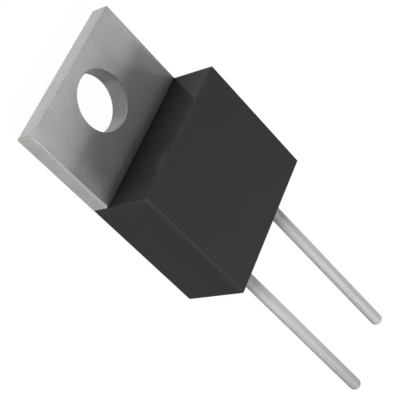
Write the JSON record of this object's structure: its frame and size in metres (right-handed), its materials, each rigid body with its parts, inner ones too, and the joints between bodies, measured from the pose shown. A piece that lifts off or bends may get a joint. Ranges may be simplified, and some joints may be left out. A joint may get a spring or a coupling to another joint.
{
  "type": "soft recovery diode",
  "caption": "Power diode: a black moulded block on a satin grey metal plate, whose bare end is a mounting tab with a round hole, and straight round solder leads with rounded tips.",
  "frame": {"origin": "centre of the tab's mounting hole, on the back plane that lies on a heatsink", "axes": "+Z out of the front face, along the mounting hole; +Y along the package towards the tab's end, with the leads towards -Y; +X to the right seen from the front with the tab up, so the anode lead is at +X"},
  "size_m": [0.01, 0.0288, 0.0044],
  "materials": {
    "moulding": "black epoxy moulding compound, fine satin",
    "plated_plate": "satin nickel plate on copper",
    "tinned_wire": "satin tin plate on copper wire",
    "silicon": "sawn silicon with a metallised top",
    "solder": "dull soft solder",
    "bond_aluminium": "bright drawn aluminium wire"
  },
  "bodies": {
    "root": {"header": "plated_plate", "body": "moulding", "cathode_lead": "tinned_wire", "anode_lead": "tinned_wire", "silicon_die": "silicon", "die_solder": "solder", "cathode_solder": "solder", "bond_wire_1": "bond_aluminium", "bond_wire_2": "bond_aluminium"}
  },
  "joints": []
}
